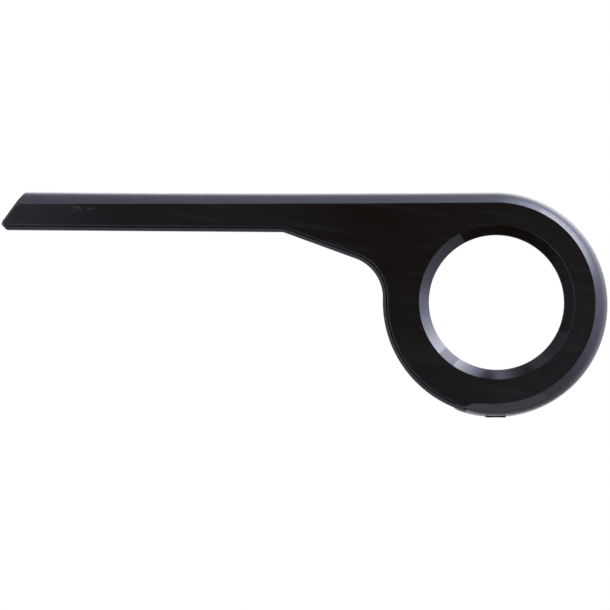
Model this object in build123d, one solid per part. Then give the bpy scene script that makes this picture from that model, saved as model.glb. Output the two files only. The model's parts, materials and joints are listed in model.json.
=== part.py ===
from build123d import *
import os
from math import acos, atan2, cos, degrees, radians, sin, sqrt, tan

# A bicycle chain guard, moulded in one piece. It is drawn in plan, with x forward and y up, the
# ring's axis at the origin and its flat face at z = 0. Depths are measured back from that face.

# Ring, round the chainring
ring_r = 90.0
opening_r = 53.8
cone_width = 8.1
cone_depth = 5.2
land_length = 2.5

# Hood: the bevel, shoulder and skirt along the arm's top and the ring's front. Its rim hangs a little
# low round the ring, and bows a little along the arm. A greater fade keeps the front's width closer to it.
hood_depth = 26.0
top_angle = 90.0
top_hood_width = 10.2
front_hood_width = 11.7
bottom_hood_width = 9.6
tip_hood_width = 12.2
top_fade = 4
bottom_fade = 1
hood_drop = 0.5
arm_bow = 1.1
tip_rise = 0.9
bevel_angle = 40.0
shoulder_share = 0.58
skirt_draft = 3.0
ring_span_count = 12
arm_span_count = 4

# Hood's end under the ring: its inner edge leaves the round for a straight run, then dips to the lip's
# width, and keeps it to the end. The lip's end tapers off along the outside of the hood's.
run_out_angle = -90.0
straight_sweep = 13.4
dip_sweep = 3.9
end_sweep = 4.6
lip_taper_sweep = 7.0
run_out_span_count = 3

# Arm, along the upper run of the chain
arm_reach = 394.9
arm_height = 34.05
tip_drop = 27.5
tip_slant = 54.5
tip_corner = 4.9
bend_back = 169.8
throat_slope = 20.1
throat_r = 33.0

# Lip, along the tip, the underside, the throat and the ring's lower rear: a groove that narrows to its
# root beside the panel, and then a bevel
lip_width = 3.3
lip_proud = 0.6
lip_step = 0.5
groove_width = 1.0
groove_root = 0.2
groove_depth = 1.4
lip_drop = 2.0
lip_depth = 5.0

# Walls and edges
wall = 2.4
hood_edge_round = 0.8
panel_edge_round = 0.95
cone_edge_round = 0.6
bend_round = 10.0
tip_round = 3.0
toe_round = 1.5
skirt_corner_round = 10.0

# Screw posts on the back: some round the ring, and one near the arm's tip for a clip
post_d = 6.4
pilot_d = 3.2
pilot_depth = 12.0
post_set_in = 4.5
post_count = 3
first_post_angle = 30.0
clip_post_from_tip = 64.9
clip_post_drop = 23.4
clip_post_depth = 20.0
gusset_reach = 4.0
gusset_thickness = 1.6

# Tab under the ring's lowest point
tab_width = 16.0
tab_proud = 0.4
tab_length = 4.0

# How far the hood's leaf reaches in over the face panel, and how far tools reach past the solid
lap = 2.0
margin = 1.0
tolerance = 0.001
far = 2 * (arm_reach + ring_r)

# Worked-out sizes
origin_depth = cone_depth + land_length / 2
draft_tan = tan(radians(skirt_draft))
bevel_tan = tan(radians(bevel_angle))
shoulder_turn = 90 - skirt_draft - bevel_angle
lip_r = ring_r + lip_proud
lip_back = lip_step + lip_drop
bevel_width = lip_width - groove_width
lip_rise = lip_drop / bevel_width
lip_inner_r = lip_r - lip_width
cone_r = opening_r + cone_width
root_depth = (groove_depth + wall) / 2
dip_start = run_out_angle - straight_sweep
dip_end = dip_start - dip_sweep
hood_end = dip_end - end_sweep
heel = Vector(-arm_reach, ring_r - tip_drop)
tip_top = heel + Vector(tip_drop / tan(radians(tip_slant)), tip_drop)


def steps(first, last, count):
    """Numbers from a first to a last one, in a count of even steps."""
    return [first + (last - first) * number / count for number in range(count + 1)]


def rim(angle):
    """Reach of the skirt's back edge at an angle about the ring's axis."""
    return ring_r - hood_drop * sin(radians(angle))


def ring_hood_width(angle):
    """Width of the hood at an angle round the ring."""
    end_width = top_hood_width if angle > 0 else bottom_hood_width
    fade = top_fade if angle > 0 else bottom_fade
    return end_width + (front_hood_width - end_width) * cos(radians(angle)) ** fade


def inner_edge(angle):
    """Reach of the hood's inner edge at an angle: round the ring, straight on, and down to the lip."""
    before_dip = max(angle, dip_start)
    held = max(before_dip, run_out_angle)
    reach = (rim(held) - ring_hood_width(held)) / cos(radians(held - before_dip))
    dipped = min((before_dip - angle) / dip_sweep, 1)
    return reach + (lip_inner_r - reach) * dipped


def arm_rim(share):
    """Height of the skirt's top along the arm, at a share of the way from the ring to the tip."""
    return rim(top_angle) + tip_rise * share - 4 * arm_bow * share * (1 - share)


def arm_inner_edge(share):
    """Height of the hood's inner edge along the arm, where the hood widens to the tip."""
    return arm_rim(share) - top_hood_width - (tip_hood_width - top_hood_width) * share**2


def polar(radius, angle):
    """Point of the plan at a radius and an angle about the ring's axis."""
    return Vector(radius * cos(radians(angle)), radius * sin(radians(angle)))


def slab(face, front, back):
    """Prism of a plan face from one depth to a greater one."""
    return extrude(Pos(0, 0, -back) * face, amount=back - front, dir=(0, 0, 1))


def nearest(shape, point):
    """Vertex of a face that lies nearest a point."""
    return shape.vertices().sort_by_distance(point)[0]


def outline():
    """Plan face of the whole guard, with the throat's arc tangent to the slope and the ring."""
    bend = Vector(-bend_back, ring_r - arm_height)
    along = Vector(cos(radians(throat_slope)), -sin(radians(throat_slope)))
    outward = Vector(-sin(radians(throat_slope)), -cos(radians(throat_slope)))
    start = bend + outward * throat_r
    reach = start.dot(along)
    run = -reach - sqrt(reach**2 - start.dot(start) + (lip_r + throat_r) ** 2)
    centre = start + along * run
    slope_end = bend + along * run
    ring_end = centre * (lip_r / (lip_r + throat_r))
    throat_middle = centre + ((ring_end - centre) + (slope_end - centre)).normalized() * throat_r
    end_angle = degrees(acos(ring_end.X / lip_r))
    toe = heel + Vector(tip_corner, -tip_corner)
    ring_top = Vector(0, lip_r)
    ring_middle = polar(lip_r, (top_angle + end_angle - 360) / 2)
    face = make_face(
        [
            Polyline(tip_top, heel, toe, bend, slope_end),
            ThreePointArc(slope_end, throat_middle, ring_end),
            ThreePointArc(ring_end, ring_middle, ring_top),
            Line(ring_top, tip_top),
        ]
    )
    for corner, radius in ((bend, bend_round), (heel, tip_round), (toe, toe_round)):
        face = fillet(nearest(face, corner), radius)
    return face


def face_region():
    """Plan region inside the hood's inner edge, short of it by half the lap, and open to the lip."""
    inset = lap / 2
    ring_angles = steps(top_angle, run_out_angle, ring_span_count)
    round_ring = [polar(inner_edge(angle) - inset, angle) for angle in ring_angles]
    run_out = [polar(inner_edge(angle) - inset, angle) for angle in (dip_start, dip_end, hood_end)]
    arm_shares = steps(1, 0, arm_span_count)
    along_arm = [Vector(-arm_reach * share, arm_inner_edge(share) - inset) for share in arm_shares]
    taper = polar(lip_r, hood_end + lip_taper_sweep) - run_out[-1]
    past_taper = run_out[-1] + taper.normalized() * far
    past_tip = Vector(-far, along_arm[0].Y)
    rest = Polyline(round_ring[-1], *run_out, past_taper, (-far, -far), past_tip, *along_arm)
    return make_face([Spline(*round_ring), rest])


def skirt_reach(reach, depth, inset):
    """Reach of the skirt's drafted wall at a depth, moved in by an inset."""
    return reach - inset / cos(radians(skirt_draft)) - (hood_depth - depth) * draft_tan


def hood_inside(flat, reach, inset):
    """Section of what lies inside the bevel, shoulder and skirt, moved in by an inset, x outward."""
    edge = Vector(flat - inset * tan(radians(bevel_angle / 2)), -inset)
    drop = (skirt_reach(reach, inset, inset) - edge.X) / (1 / bevel_tan - draft_tan)
    shoulder = edge + Vector(drop / bevel_tan, -drop)
    back = hood_depth + inset
    root = flat - lap - inset
    foot = (skirt_reach(reach, back, inset), -back)
    section = make_face(Polyline((root, -inset), edge, shoulder, foot, (root, -back), close=True))
    shoulder_r = (shoulder - edge).length * shoulder_share / tan(radians(shoulder_turn / 2))
    return fillet(nearest(section, shoulder), shoulder_r)


def hood_section(flat, reach):
    """Section of the hood's wall, from its leaf on the face to the skirt's back edge."""
    outside = hood_inside(flat, reach, 0)
    outside = fillet(nearest(outside, Vector(flat, 0)), hood_edge_round)
    return outside - hood_inside(flat, reach, wall)


def at_angle(section, angle):
    """A section stood up in the radial plane at an angle about the ring's axis."""
    return Rot(0, 0, angle) * (Plane.XZ * section)


def tip_bevel_waste():
    """Waste in front of the lip's bevel, where the bevel runs on up the tip's edge across the hood."""
    inward = polar(1, tip_slant - 90)
    wedge = Polygon(
        (-margin, margin),
        (-margin, -lip_back - margin * lip_rise),
        ((lip_back + margin) / lip_rise, margin),
        align=None,
    )
    plane = Plane(tip_top, x_dir=inward, z_dir=inward.cross(Vector(0, 0, 1)))
    return extrude(plane * wedge, amount=hood_depth, both=True)


def ring_hood(angles):
    """Stretch of the hood round the ring, through its sections at some angles."""
    return loft([at_angle(hood_section(inner_edge(angle), rim(angle)), angle) for angle in angles])


def hood():
    """Hood: along the arm, where the tip's edge has the lip's depth, round the ring and under it."""
    straight_run = steps(run_out_angle, dip_start, run_out_span_count)
    ring = ring_hood(steps(top_angle, run_out_angle, ring_span_count) + straight_run[1:])
    ring += ring_hood(steps(dip_start, dip_end, run_out_span_count))
    ring += ring_hood(steps(dip_end, hood_end, run_out_span_count))
    shares = steps(0, 1, arm_span_count)
    planes = [Plane.YZ.offset(-arm_reach * share) for share in shares]
    edges = [(arm_inner_edge(share), arm_rim(share)) for share in shares]
    arm = loft([plane * hood_section(*edge) for plane, edge in zip(planes, edges)])
    filled = loft([plane * hood_inside(*edge, 0) for plane, edge in zip(planes, edges)])
    slant = polar(far, tip_slant)
    inward = polar(wall, tip_slant - 90)
    clear_of_tip = Polygon(tip_top - slant, (far, -far), (far, far), tip_top + slant, align=None)
    arm += filled & slab(clear_of_tip - Pos(inward.X, inward.Y) * clear_of_tip, 0, lip_depth)
    arm &= slab(clear_of_tip, -margin, hood_depth + margin)
    return ring + (arm - tip_bevel_waste())


def face_and_lip(plan):
    """Face panel, standing proud of the groove and the bevelled lip that run round its free edge."""
    region = face_region()
    panel_plan = offset(plan, -lip_width, kind=Kind.INTERSECTION)
    panel = slab(panel_plan & region, 0, wall)
    border = panel_plan.wire()
    front_edges = panel.edges().group_by(Axis.Z)[-1]
    free_edges = [edge for edge in front_edges if border.distance_to(edge @ 0.5) < tolerance]
    panel = fillet(free_edges, panel_edge_round)
    lip = extrude(Pos(0, 0, -lip_back) * plan, amount=lip_drop, taper=degrees(atan2(1, lip_rise)))
    lip += slab(plan, lip_back, lip_depth)
    root_plan = offset(plan, groove_root - lip_width, kind=Kind.INTERSECTION)
    widening = degrees(atan2(groove_width - groove_root, groove_depth))
    lip -= extrude(Pos(0, 0, -groove_depth) * root_plan, amount=groove_depth, taper=-widening)
    lip &= slab(region, -margin, lip_depth + margin)
    return panel + lip - slab(offset(plan, -wall, kind=Kind.INTERSECTION), wall, lip_depth + margin)


def opening_cone():
    """Countersunk cone round the opening, with the short land that bounds the opening."""
    slope = atan2(cone_depth, cone_r - opening_r)
    land_back = cone_depth + land_length
    back_r = opening_r + wall
    bend_r = cone_r + wall * tan(slope / 2)
    front_edge = Vector(cone_r, 0)
    land_edge = Vector(opening_r, -cone_depth)
    section = make_face(
        Polyline(
            front_edge,
            land_edge,
            (opening_r, -land_back),
            (back_r, -land_back),
            (back_r, -wall - (bend_r - back_r) * tan(slope)),
            (bend_r, -wall),
            (cone_r + lap, -wall),
            (cone_r + lap, 0),
            close=True,
        )
    )
    for corner in (front_edge, land_edge):
        section = fillet(nearest(section, corner), cone_edge_round)
    return revolve(Plane.XZ * section, Axis.Z)


def screw_post(at, depth):
    """Round post from the face's back to a depth, without its pilot hole."""
    return slab(Pos(at.X, at.Y) * Circle(post_d / 2), root_depth, depth)


def gussets(at, outward, depth):
    """Three thin ribs that prop a post: one on its outward side and one on each flank."""
    reach = post_d / 2 + gusset_reach
    rib = Polygon((0, -root_depth), (reach, -root_depth), (reach, -wall), (0, -depth), align=None)
    ribs = [
        Pos(at.X, at.Y) * at_angle(extrude(rib, gusset_thickness / 2, both=True), outward + turn)
        for turn in (-90, 0, 90)
    ]
    return ribs[0] + ribs[1] + ribs[2]


def pilot_hole(at, depth):
    """Blind hole in a post, from its back end."""
    return slab(Pos(at.X, at.Y) * Circle(pilot_d / 2), depth - pilot_depth, depth + margin)


def ring_posts():
    """Posts of the bracket's screw circle: two grow out of the skirt, one stands on the face."""
    angles = [first_post_angle + 360 / post_count * number for number in range(post_count)]
    places = [polar(ring_r - post_set_in, angle) for angle in angles]
    inside = revolve(Plane.XZ * hood_inside(ring_r - front_hood_width, rim(top_angle), 0), Axis.Z)
    posts = []
    for angle, at in zip(angles, places):
        post = screw_post(at, hood_depth)
        in_hood = at.X > -post_d
        posts.append(post & inside if in_hood else post + gussets(at, angle, hood_depth))
    return posts, [pilot_hole(at, hood_depth) for at in places]


def lowest_tab():
    """Small tab that stands proud of the skirt's back edge under the ring."""
    lowest = -rim(-90)
    top = lowest + wall / 2
    bottom = lowest - tab_proud
    tab = Pos(0, (top + bottom) / 2) * Rectangle(tab_width, top - bottom)
    return slab(tab, hood_depth - tab_length, hood_depth)


def skirt_corner_waste(at, heading, through):
    """Waste outside the round of a back corner of the skirt, run through the skirt's wall."""
    low, high = -margin, skirt_corner_round
    square = Polygon((low, low), (high, low), (high, high), (low, high), align=None)
    waste = square - Pos(high, high) * Circle(high)
    start = at - through * (2 * wall)
    plane = Plane((start.X, start.Y, -hood_depth), x_dir=heading, z_dir=heading.cross(Vector(0, 0, 1)))
    return extrude(plane * waste, amount=4 * wall, dir=through)


plan = outline()
guard = face_and_lip(plan) + hood()
guard -= slab(Circle(cone_r + lap / 2), -margin, hood_depth)
guard += opening_cone()
guard -= [
    skirt_corner_waste(tip_top, Vector(1, 0), polar(1, tip_slant)),
    skirt_corner_waste(polar(rim(hood_end), hood_end), polar(1, hood_end + 90), polar(1, hood_end)),
]
guard += lowest_tab()
posts, pilots = ring_posts()
clip_at = Vector(clip_post_from_tip - arm_reach, ring_r - clip_post_drop)
guard += [*posts, screw_post(clip_at, clip_post_depth), gussets(clip_at, -90, clip_post_depth)]
guard -= [*pilots, pilot_hole(clip_at, clip_post_depth)]

os.makedirs("parts", exist_ok=True)
export_step(Pos(0, -origin_depth, 0) * Rot(90, 0, 0) * guard, "parts/chain_guard.step")
print("solids", len(guard.solids()), "volume", guard.volume, "valid", guard.is_valid)
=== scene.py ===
"""A bicycle chain guard in gloss black plastic, seen from its outer side in a white studio.

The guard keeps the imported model's frame: x runs forward along the bicycle, y inward from the face
to the frame, and z up, with the ring's axis at the origin. Lengths are in metres.
"""

import json
import logging
import math
from dataclasses import dataclass, field
from enum import Enum
from typing import Any, Union

import bpy
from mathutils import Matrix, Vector
from mathutils.bvhtree import BVHTree

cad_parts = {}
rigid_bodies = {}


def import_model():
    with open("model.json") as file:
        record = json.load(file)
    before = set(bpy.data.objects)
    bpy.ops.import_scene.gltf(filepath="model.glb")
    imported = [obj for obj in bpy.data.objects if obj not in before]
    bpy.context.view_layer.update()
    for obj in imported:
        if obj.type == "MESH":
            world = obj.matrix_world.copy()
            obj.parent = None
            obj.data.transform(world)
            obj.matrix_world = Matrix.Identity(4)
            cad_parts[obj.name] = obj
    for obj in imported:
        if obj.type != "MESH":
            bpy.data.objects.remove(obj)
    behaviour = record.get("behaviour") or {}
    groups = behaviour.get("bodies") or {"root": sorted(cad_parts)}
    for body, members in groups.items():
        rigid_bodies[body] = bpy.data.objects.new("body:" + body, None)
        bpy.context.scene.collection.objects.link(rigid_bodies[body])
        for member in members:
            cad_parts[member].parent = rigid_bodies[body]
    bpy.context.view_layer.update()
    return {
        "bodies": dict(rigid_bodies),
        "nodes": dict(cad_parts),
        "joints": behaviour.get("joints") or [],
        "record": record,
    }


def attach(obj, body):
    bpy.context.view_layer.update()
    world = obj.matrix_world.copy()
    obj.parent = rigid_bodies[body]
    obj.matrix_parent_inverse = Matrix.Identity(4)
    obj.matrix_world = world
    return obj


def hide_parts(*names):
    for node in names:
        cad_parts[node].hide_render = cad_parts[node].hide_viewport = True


LOG = logging.getLogger("chain_guard")
MILLIMETRE = 0.001

Triple = tuple[float, float, float]
Span = tuple[float, float]


class Side(Enum):
    """The two sides of the moulding, by the tool face that each was formed on."""

    SHOW = "polished_side"
    HIDDEN = "core_side"


@dataclass(frozen=True)
class Signal:
    """A number in a material's node tree, with arithmetic that adds Math nodes."""

    tree: "NodeTree"
    socket: bpy.types.NodeSocket

    def __add__(self, other: "Number") -> "Signal":
        """Sum with another number."""
        return self.tree.math("ADD", self, other)

    def __radd__(self, other: "Number") -> "Signal":
        """Sum with a number on the left."""
        return self.tree.math("ADD", other, self)

    def __sub__(self, other: "Number") -> "Signal":
        """Difference from another number."""
        return self.tree.math("SUBTRACT", self, other)

    def __rsub__(self, other: "Number") -> "Signal":
        """Difference of a number on the left from this one."""
        return self.tree.math("SUBTRACT", other, self)

    def __mul__(self, other: "Number") -> "Signal":
        """Product with another number."""
        return self.tree.math("MULTIPLY", self, other)

    def __rmul__(self, other: "Number") -> "Signal":
        """Product with a number on the left."""
        return self.tree.math("MULTIPLY", other, self)


Number = Union[Signal, float]


class NodeTree:
    """A node tree that is filled by expressions and by one method for any node."""

    def __init__(self, tree: bpy.types.NodeTree) -> None:
        """Takes over a tree and empties it.

        Args:
            tree: The node tree of a material or of the world.
        """
        self.tree = tree
        self.tree.nodes.clear()

    def node(self, kind: str, settings: dict[str, Any] | None = None,
             inputs: dict[str | int, Any] | None = None) -> bpy.types.Node:
        """Adds a node, sets it up and feeds its sockets.

        Args:
            kind: The node's type name.
            settings: Attributes of the node, set before its sockets.
            inputs: Values, sockets or signals, by socket name or index.

        Returns:
            The new node.
        """
        node = self.tree.nodes.new(kind)
        for name, value in (settings or {}).items():
            setattr(node, name, value)
        for key, value in (inputs or {}).items():
            source = value.socket if isinstance(value, Signal) else value
            if isinstance(source, bpy.types.NodeSocket):
                self.tree.links.new(source, node.inputs[key])
            else:
                node.inputs[key].default_value = source
        return node

    def math(self, operation: str, *values: Number) -> Signal:
        """Adds a Math node.

        Args:
            operation: The node's operation.
            values: The numbers that it works on.

        Returns:
            The result.
        """
        node = self.node("ShaderNodeMath", {"operation": operation}, dict(enumerate(values)))
        return Signal(self, node.outputs[0])

    def band(self, value: Number, low: float, high: float) -> Signal:
        """Smooth step of a number from 0 at one value to 1 at another.

        Args:
            value: The number.
            low: Where the step starts.
            high: Where the step ends.

        Returns:
            The step.
        """
        settings = {"interpolation_type": "SMOOTHSTEP"}
        node = self.node("ShaderNodeMapRange", settings, {0: value, 1: low, 2: high})
        return Signal(self, node.outputs[0])

    def noise(self, place: bpy.types.NodeSocket, grain: float, detail: float = 2.0,
              stretch: float = 1.0, turn: float = 0.0) -> Signal:
        """Noise with a grain of a given size.

        Args:
            place: Object coordinates.
            grain: Size of the grain, in metres.
            detail: Octaves of finer noise.
            stretch: How many times longer the grain is along the turned x axis.
            turn: Turn of the axes about y, in radians.

        Returns:
            The noise, about 0.5 on average.
        """
        scale = (1.0 / (grain * stretch), 1.0 / grain, 1.0 / grain)
        rotation = (0.0, turn, 0.0)
        turned = self.node("ShaderNodeMapping", {}, {"Vector": place, "Rotation": rotation})
        scaled = self.node("ShaderNodeMapping", {}, {"Vector": turned.outputs[0], "Scale": scale})
        inputs = {"Vector": scaled.outputs[0], "Scale": 1.0, "Detail": detail}
        return Signal(self, self.node("ShaderNodeTexNoise", {}, inputs).outputs[0])

    def mix_colour(self, share: Number, first: Any, second: Any) -> bpy.types.NodeSocket:
        """Mix of two colours.

        Args:
            share: How much of the second colour shows.
            first: The first colour.
            second: The second colour.

        Returns:
            The mixed colour.
        """
        node = self.node("ShaderNodeMix", {"data_type": "RGBA"}, {0: share, 6: first, 7: second})
        return node.outputs[2]


def opaque(colour: Triple) -> tuple[float, float, float, float]:
    """Gives a colour its alpha of 1."""
    return (*colour, 1.0)


@dataclass(frozen=True)
class Mottle:
    """Noise that shows only where it is strong."""

    grain: float
    detail: float
    shown: Span
    stretch: float = 1.0
    turn: float = 0.0

    def mask(self, tree: NodeTree, place: bpy.types.NodeSocket) -> Signal:
        """Makes the mask of the places where the noise shows.

        Args:
            tree: The node tree of the plastic.
            place: Object coordinates.

        Returns:
            The mask.
        """
        noise = tree.noise(place, self.grain, self.detail, self.stretch, self.turn)
        return tree.band(noise, *self.shown)


SMEARS = Mottle(grain=0.018, detail=4.0, shown=(0.5, 0.75), stretch=2.5)
SCRATCHES = Mottle(grain=0.0009, detail=1.0, shown=(0.72, 0.8), stretch=60.0, turn=0.35)
SPECKS = Mottle(grain=0.0011, detail=1.0, shown=(0.76, 0.82))
HAZE = Mottle(grain=0.0065, detail=3.0, shown=(0.48, 0.78), stretch=13.0, turn=math.radians(-9.0))
RUBBED = Mottle(grain=0.0026, detail=3.0, shown=(0.46, 0.66))


@dataclass(frozen=True)
class Scuff:
    """A small rubbed place on the face."""

    middle: tuple[float, float] = (-0.3285, 0.0744)
    half_width: float = 0.0105
    half_height: float = 0.0036
    fade: float = 0.002
    colour: Triple = (0.03, 0.021, 0.02)

    def mask(self, tree: NodeTree, place: bpy.types.NodeSocket) -> Signal:
        """Makes the mask of the rubbed place.

        Args:
            tree: The node tree of the plastic.
            place: Object coordinates.

        Returns:
            The mask, broken up by noise.
        """
        parts = tree.node("ShaderNodeSeparateXYZ", {}, {0: place})
        x, z = Signal(tree, parts.outputs[0]), Signal(tree, parts.outputs[2])
        off_x = tree.math("ABSOLUTE", x - self.middle[0])
        off_z = tree.math("ABSOLUTE", z - self.middle[1])
        inside = tree.band(off_x, self.half_width, self.half_width - self.fade)
        inside = inside * tree.band(off_z, self.half_height, self.half_height - self.fade)
        return inside * RUBBED.mask(tree, place)


@dataclass(frozen=True)
class BlackPlastic:
    """Black plastic, as one face of the mould leaves it."""

    name: str
    colour: Triple
    drift_colour: Triple
    roughness: float
    roughness_drift: float
    grain: float
    grain_depth: float
    wave: float = 0.045
    wave_detail: float = 3.0
    wave_depth: float = 0.000008
    wave_dulling: float = 0.4
    smear_dulling: float = 0.6
    scratch_dulling: float = 0.5
    speck_dulling: float = 0.5
    speck: float = 0.25
    speck_colour: Triple = (0.05, 0.05, 0.052)
    haze: float = 0.0
    haze_colour: Triple = (0.02, 0.0185, 0.0185)
    scuffs: tuple[Scuff, ...] = ()
    refraction: float = 1.5

    def material(self) -> bpy.types.Material:
        """Makes the material.

        Returns:
            The material, with colour, roughness and relief from its nodes.
        """
        material = bpy.data.materials.new(self.name)
        material.use_nodes = True
        tree = NodeTree(material.node_tree)
        place = tree.node("ShaderNodeTexCoord").outputs["Object"]
        drift = tree.noise(place, self.wave, self.wave_detail)
        smear = SMEARS.mask(tree, place)
        scratch = SCRATCHES.mask(tree, place)
        speck = SPECKS.mask(tree, place)
        haze = HAZE.mask(tree, place) * self.haze
        colour = tree.mix_colour(drift, opaque(self.colour), opaque(self.drift_colour))
        colour = tree.mix_colour(haze, colour, opaque(self.haze_colour))
        colour = tree.mix_colour(speck * self.speck, colour, opaque(self.speck_colour))
        for scuff in self.scuffs:
            colour = tree.mix_colour(scuff.mask(tree, place), colour, opaque(scuff.colour))
        wear = smear * self.smear_dulling + scratch * self.scratch_dulling
        wear = wear + speck * self.speck_dulling
        dulling = drift * self.wave_dulling + wear
        roughness = self.roughness + dulling * self.roughness_drift
        relief = tree.noise(place, self.grain) * self.grain_depth + drift * self.wave_depth
        bump = tree.node("ShaderNodeBump", {}, {"Strength": 1.0, "Distance": 1.0, "Height": relief})
        shader = tree.node("ShaderNodeBsdfPrincipled", {}, {
            "Base Color": colour,
            "Roughness": roughness,
            "Normal": bump.outputs[0],
            "IOR": self.refraction,
        })
        tree.node("ShaderNodeOutputMaterial", {}, {"Surface": shader.outputs[0]})
        return material


POLISHED = BlackPlastic(
    name="polished_black_plastic",
    colour=(0.0052, 0.0036, 0.0024),
    drift_colour=(0.0062, 0.0044, 0.0030),
    roughness=0.05,
    roughness_drift=0.05,
    grain=0.0022,
    grain_depth=0.0000006,
    haze=0.3,
    scuffs=(Scuff(),),
)
SATIN = BlackPlastic(
    name="satin_black_plastic",
    colour=(0.0085, 0.008, 0.0078),
    drift_colour=(0.011, 0.0105, 0.0105),
    roughness=0.3,
    roughness_drift=0.12,
    grain=0.0007,
    grain_depth=0.000012,
)


@dataclass
class GuardShell:
    """The one-piece moulding, with merged faces and even shading."""

    node: str = "chain_guard"
    body: str = "root"
    slot: str = "gloss_black"
    merge_distance: float = 0.01 * MILLIMETRE
    flat_angle: float = math.radians(0.2)
    sharp_angle: float = math.radians(32.0)
    large_face_weight: int = 100
    flat_facing: float = 0.9999
    bevel_facing: float = 0.74
    cone_reach: float = 64.0 * MILLIMETRE
    low_end: float = 0.0
    arm_end: float = 0.0
    lift: float = 0.02 * MILLIMETRE
    finishes: dict[Side, BlackPlastic] = field(default_factory=lambda: {
        Side.SHOW: POLISHED,
        Side.HIDDEN: SATIN,
    })

    def build(self, frame: dict[str, Any]) -> bpy.types.Object:
        """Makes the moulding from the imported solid.

        Args:
            frame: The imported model, as loaded.

        Returns:
            The piece, riding on its body in place of the solid.
        """
        piece = bpy.data.objects.new("guard_shell", frame["nodes"][self.node].data.copy())
        bpy.context.scene.collection.objects.link(piece)
        self.select(piece)
        bpy.ops.mesh.customdata_custom_splitnormals_clear()
        bpy.ops.object.mode_set(mode="EDIT")
        bpy.ops.mesh.select_all(action="SELECT")
        bpy.ops.mesh.remove_doubles(threshold=self.merge_distance)
        bpy.ops.mesh.dissolve_limited(angle_limit=self.flat_angle)
        bpy.ops.object.mode_set(mode="OBJECT")
        bpy.ops.object.shade_smooth_by_angle(angle=self.sharp_angle, keep_sharp_edges=False)
        self.shade_evenly(piece)
        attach(piece, self.body)
        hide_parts(self.node)
        return piece

    def shade_evenly(self, piece: bpy.types.Object) -> None:
        """Keeps the flats, the cone and the ring's bevel true up to their rounded edges.

        Args:
            piece: The moulding.
        """
        corners: set[int] = set()
        for polygon in piece.data.polygons:
            flat = abs(polygon.normal.y) > self.flat_facing
            on_cone = math.hypot(polygon.center.x, polygon.center.z) < self.cone_reach
            on_ring = polygon.center.x > self.arm_end or polygon.center.z < self.low_end
            on_bevel = on_ring and polygon.normal.y < -self.bevel_facing
            if flat or on_cone or on_bevel:
                corners.update(polygon.vertices)
        even = piece.vertex_groups.new(name="even")
        even.add(sorted(corners), 1.0, "REPLACE")
        weighted = piece.modifiers.new("even_shading", "WEIGHTED_NORMAL")
        weighted.mode = "FACE_AREA"
        weighted.weight = self.large_face_weight
        weighted.keep_sharp = True
        weighted.vertex_group = even.name
        bpy.ops.object.modifier_apply(modifier=weighted.name)
        piece.vertex_groups.clear()

    def dress(self, piece: bpy.types.Object) -> None:
        """Gives each side of the moulding its finish.

        Args:
            piece: The moulding.
        """
        piece.data.materials.clear()
        order = list(self.finishes)
        for side in order:
            piece.data.materials.append(self.finishes[side].material())
        skin = BVHTree.FromPolygons(
            [vertex.co for vertex in piece.data.vertices],
            [polygon.vertices for polygon in piece.data.polygons],
        )
        forward = Vector((0.0, -1.0, 0.0))
        for polygon in piece.data.polygons:
            start = polygon.center + polygon.normal * self.lift
            covered = skin.ray_cast(start, forward)[0] is not None
            polygon.material_index = order.index(Side.HIDDEN if covered else Side.SHOW)

    @staticmethod
    def select(piece: bpy.types.Object) -> None:
        """Makes a piece the only selected and the active one."""
        bpy.ops.object.select_all(action="DESELECT")
        piece.select_set(True)
        bpy.context.view_layer.objects.active = piece


@dataclass(frozen=True)
class Glow:
    """A patch of light on the tent, or of shade where it is negative.

    Each row gives where the patch starts, where it is full, where it is still full, and where it
    ends: angles about the ring's axis in degrees, and depths in metres.
    """

    strength: float
    angles: tuple[float, float, float, float]
    depths: tuple[float, float, float, float]


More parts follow.
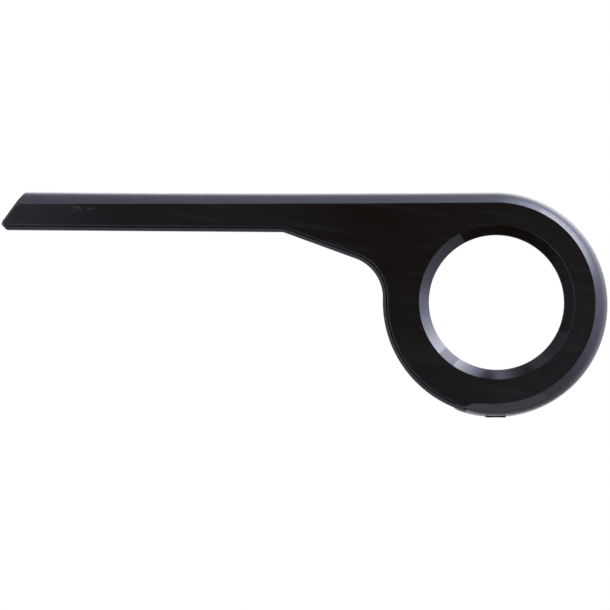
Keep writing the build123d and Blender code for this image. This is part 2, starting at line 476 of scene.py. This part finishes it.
@dataclass
class LightTent:
    """White cloth arched over the guard, lit from outside, cooler in front than behind."""

    radius: float = 1.0
    front: float = -0.8
    back: float = 2.2
    segments: int = 96
    first_angle: float = math.radians(-56.0)
    last_angle: float = math.radians(150.0)
    cloth: float = 0.5
    front_tint: Triple = (0.88, 0.95, 1.34)
    back_tint: Triple = (1.0, 1.0, 1.12)
    hot_tint: Triple = (0.98, 1.0, 1.2)
    front_to_back: Span = (-0.1, 0.8)
    hot: Span = (2.5, 9.0)
    glows: tuple[Glow, ...] = (
        Glow(2.0, (-65.0, 45.0, 45.0, 155.0), (-1.75, -0.25, -0.25, 1.25)),
        Glow(1.7, (30.0, 95.0, 105.0, 170.0), (0.2, 1.3, 1.8, 2.8)),
        Glow(0.4, (-50.0, -20.0, 15.0, 40.0), (0.1, 0.6, 1.5, 2.5)),
        Glow(0.15, (-80.0, -63.0, -55.0, -30.0), (-0.6, -0.3, 0.0, 0.4)),
        Glow(1.3, (-12.0, 8.0, 16.0, 30.0), (-0.9, -0.6, -0.4, -0.2)),
        Glow(10.0, (8.0, 46.0, 52.0, 95.0), (-0.82, -0.32, -0.32, 0.18)),
        Glow(4.5, (14.0, 46.0, 62.5, 63.5), (-0.36, -0.28, -0.16, 0.06)),
        Glow(2.2, (5.0, 50.0, 50.0, 95.0), (-0.8, 0.8, 0.8, 2.4)),
        Glow(-6.5, (48.0, 69.0, 76.0, 90.0), (-1.2, -0.9, -0.5, -0.25)),
        Glow(-0.3, (90.0, 110.0, 125.0, 170.0), (-1.2, -0.9, -0.5, -0.25)),
        Glow(-0.8, (88.0, 101.0, 107.0, 118.0), (-1.2, -0.9, -0.5, -0.25)),
        Glow(-5.0, (42.5, 43.5, 54.5, 55.5), (-0.8, -0.7, -0.36, -0.34)),
    )

    def build(self) -> bpy.types.Object:
        """Hangs the tent.

        Returns:
            The tent, which only reflections and light paths meet.
        """
        bpy.ops.object.select_all(action="DESELECT")
        bpy.ops.mesh.primitive_cylinder_add(
            vertices=self.segments, radius=self.radius, depth=self.back - self.front,
            end_fill_type="NOTHING", location=(0.0, 0.5 * (self.front + self.back), 0.0),
            rotation=(math.radians(90.0), 0.0, 0.0))
        tent = bpy.context.active_object
        tent.name = "light_tent"
        bpy.ops.object.transform_apply(location=True, rotation=True)
        bpy.ops.object.mode_set(mode="EDIT")
        bpy.ops.mesh.select_all(action="DESELECT")
        bpy.ops.object.mode_set(mode="OBJECT")
        for polygon in tent.data.polygons:
            angle = math.atan2(polygon.center.z, polygon.center.x)
            turned = angle if angle > self.first_angle - 0.5 * math.pi else angle + 2.0 * math.pi
            polygon.select = not self.first_angle <= turned <= self.last_angle
        bpy.ops.object.mode_set(mode="EDIT")
        bpy.ops.mesh.delete(type="FACE")
        bpy.ops.object.mode_set(mode="OBJECT")
        tent.data.materials.append(self.material())
        tent.visible_camera = False
        tent.visible_shadow = False
        return tent

    def material(self) -> bpy.types.Material:
        """Makes the lit cloth.

        Returns:
            The material, which glows in soft patches.
        """
        material = bpy.data.materials.new("tent_cloth")
        material.use_nodes = True
        tree = NodeTree(material.node_tree)
        place = tree.node("ShaderNodeTexCoord").outputs["Object"]
        parts = tree.node("ShaderNodeSeparateXYZ", {}, {0: place})
        x, y, z = (Signal(tree, socket) for socket in parts.outputs)
        angle = tree.math("ARCTAN2", z, x)
        strength: Number = self.cloth
        for glow in self.glows:
            first, full, still_full, last = (math.radians(degrees) for degrees in glow.angles)
            along = tree.band(angle, first, full) * tree.band(angle, last, still_full)
            first, full, still_full, last = glow.depths
            across = tree.band(y, first, full) * tree.band(y, last, still_full)
            strength = along * across * glow.strength + strength
        lit = tree.math("MAXIMUM", strength, 0.0)
        depth = tree.band(y, *self.front_to_back)
        tint = tree.mix_colour(depth, opaque(self.front_tint), opaque(self.back_tint))
        tint = tree.mix_colour(tree.band(lit, *self.hot), tint, opaque(self.hot_tint))
        emission = tree.node("ShaderNodeEmission", {}, {"Color": tint, "Strength": lit})
        tree.node("ShaderNodeOutputMaterial", {}, {"Surface": emission.outputs[0]})
        return material


@dataclass
class Softbox:
    """A rectangular lamp that shines at a point and isn't mirrored in the plastic."""

    name: str
    place: Triple
    aim: Triple
    width: float
    height: float
    radiance: float
    colour: Triple

    def build(self) -> bpy.types.Object:
        """Hangs the lamp.

        Returns:
            The lamp.
        """
        lamp = bpy.data.lights.new(self.name, "AREA")
        lamp.shape = "RECTANGLE"
        lamp.size = self.width
        lamp.size_y = self.height
        lamp.color = self.colour
        lamp.energy = self.radiance * math.pi * self.width * self.height
        holder = bpy.data.objects.new(self.name, lamp)
        holder.location = self.place
        look = Vector(self.aim) - Vector(self.place)
        holder.rotation_euler = look.to_track_quat("-Z", "Y").to_euler()
        holder.visible_glossy = False
        bpy.context.scene.collection.objects.link(holder)
        return holder


class Axis(Enum):
    """The axes of a direction, by their place in it."""

    X = 0
    Y = 1
    Z = 2


@dataclass(frozen=True)
class Panel:
    """A pale part of the room that the gloss mirrors, in the directions past a span on one axis."""

    strength: float
    axis: Axis
    edge: Span

    def light(self, toward: tuple[Signal, ...]) -> Signal:
        """Makes the light of the panel.

        Args:
            toward: The three parts of the mirrored direction.

        Returns:
            The light, from 0 before the span to the panel's strength after it.
        """
        part = toward[self.axis.value]
        return part.tree.band(part, *self.edge) * self.strength


@dataclass
class Studio:
    """White floor, white surroundings, a light tent and a soft lamp."""

    floor_height: float = -0.42
    floor_size: float = 12.0
    floor_colour: Triple = (0.85, 0.85, 0.85)
    white: Triple = (1.0, 1.0, 1.0)
    fill: float = 0.5
    side_light: float = 0.9
    back_light: float = 0.5
    side_to_back: Span = (-0.05, 0.35)
    front: Span = (-0.2, -0.38)
    dark_front: float = 0.015
    room: tuple[Panel, ...] = (
        Panel(0.1, Axis.Z, (0.1, 0.05)),
        Panel(0.13, Axis.X, (0.02, -0.02)),
        Panel(0.35, Axis.X, (-0.06, -0.105)),
        Panel(0.09, Axis.X, (0.04, 0.085)),
    )
    room_edge: Span = (-0.8, -0.95)
    apron: tuple[Panel, ...] = (
        Panel(2.2, Axis.X, (-0.15, -0.5)),
        Panel(1.0, Axis.Z, (-0.15, -0.5)),
    )
    apron_near: Span = (-0.92, -0.8)
    apron_far: Span = (-0.54, -0.64)
    left_front: Panel = Panel(0.2, Axis.X, (-0.5, -0.9))
    mirror_tint: Triple = (0.98, 0.99, 1.2)
    room_tint: Triple = (0.85, 0.95, 1.35)
    tent: LightTent = field(default_factory=LightTent)
    lamp: Softbox = field(default_factory=lambda: Softbox(
        name="overhead",
        place=(-0.15, -0.6, 1.6),
        aim=(-0.15, 0.0, 0.0),
        width=2.0,
        height=1.4,
        radiance=1.0,
        colour=(0.97, 0.98, 1.0),
    ))

    def build(self) -> None:
        """Lays the floor, fills the surroundings and hangs the tent and the lamp."""
        self.floor()
        self.surroundings()
        self.tent.build()
        self.lamp.build()

    def floor(self) -> bpy.types.Object:
        """Lays the white floor.

        Returns:
            The floor.
        """
        bpy.ops.object.select_all(action="DESELECT")
        bpy.ops.mesh.primitive_plane_add(
            size=self.floor_size, location=(0.0, 0.0, self.floor_height))
        floor = bpy.context.active_object
        floor.name = "studio_floor"
        material = bpy.data.materials.new("white_floor")
        material.use_nodes = True
        tree = NodeTree(material.node_tree)
        shader = tree.node("ShaderNodeBsdfDiffuse", {}, {"Color": opaque(self.floor_colour)})
        tree.node("ShaderNodeOutputMaterial", {}, {"Surface": shader.outputs[0]})
        floor.data.materials.append(material)
        floor.visible_glossy = False
        return floor

    def surroundings(self) -> None:
        """Makes the world white to the camera, dim as a light and dark in front in the gloss."""
        world = bpy.data.worlds.new("studio")
        bpy.context.scene.world = world
        world.use_nodes = True
        tree = NodeTree(world.node_tree)
        path = tree.node("ShaderNodeLightPath")
        toward = tree.node("ShaderNodeTexCoord").outputs["Generated"]
        parts = tree.node("ShaderNodeSeparateXYZ", {}, {0: toward})
        directions = tuple(Signal(tree, socket) for socket in parts.outputs)
        y = directions[Axis.Y.value]
        back_change = self.back_light - self.side_light
        around = self.side_light + tree.band(y, *self.side_to_back) * back_change
        room: Number = self.dark_front
        for panel in self.room:
            room = room + panel.light(directions)
        room = room * tree.band(y, *self.room_edge)
        apron: Number = 0.0
        for panel in self.apron:
            apron = apron + panel.light(directions)
        apron = apron * tree.band(y, *self.apron_near) * tree.band(y, *self.apron_far)
        front = tree.band(y, *self.front)
        before_guard = room + self.left_front.light(directions) + apron
        mirror_light = around * (1.0 - front) + before_guard * front
        seen = tree.math("MAXIMUM", Signal(tree, path.outputs["Is Camera Ray"]),
                         Signal(tree, path.outputs["Is Transmission Ray"]))
        mirrored = Signal(tree, path.outputs["Is Glossy Ray"])
        other = 1.0 - tree.math("MAXIMUM", seen, mirrored)
        strength = seen + mirrored * mirror_light + other * self.fill
        tint = tree.mix_colour(front, opaque(self.mirror_tint), opaque(self.room_tint))
        colour = tree.mix_colour(mirrored, opaque(self.white), tint)
        background = tree.node("ShaderNodeBackground", {}, {"Color": colour, "Strength": strength})
        tree.node("ShaderNodeOutputWorld", {}, {"Surface": background.outputs[0]})


@dataclass
class PhotoCamera:
    """Camera at the photograph's place."""

    aim: Triple = (-0.1524, -0.00645, -0.0026)
    elevation: float = math.radians(-4.5)
    distance: float = 2.4
    lens: float = 178.4
    sensor_width: float = 36.0

    def build(self) -> bpy.types.Object:
        """Places the camera.

        Returns:
            The camera.
        """
        camera = bpy.data.cameras.new("photo_camera")
        camera.lens = self.lens
        camera.sensor_width = self.sensor_width
        holder = bpy.data.objects.new("photo_camera", camera)
        away = Vector((0.0, -math.cos(self.elevation), math.sin(self.elevation)))
        holder.location = Vector(self.aim) + away * self.distance
        holder.rotation_euler = (-away).to_track_quat("-Z", "Y").to_euler()
        bpy.context.scene.collection.objects.link(holder)
        bpy.context.scene.camera = holder
        return holder


def main() -> None:
    """Builds the guard and the studio."""
    logging.basicConfig(level=logging.INFO, format="%(name)s: %(message)s")
    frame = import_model()
    shell = GuardShell()
    piece = shell.build(frame)
    shell.dress(piece)
    LOG.info("%s has %d faces", piece.name, len(piece.data.polygons))
    Studio().build()
    PhotoCamera().build()
    bpy.context.scene.view_settings.view_transform = "Standard"
    bpy.context.view_layer.update()


if __name__ == "__main__":
    main()
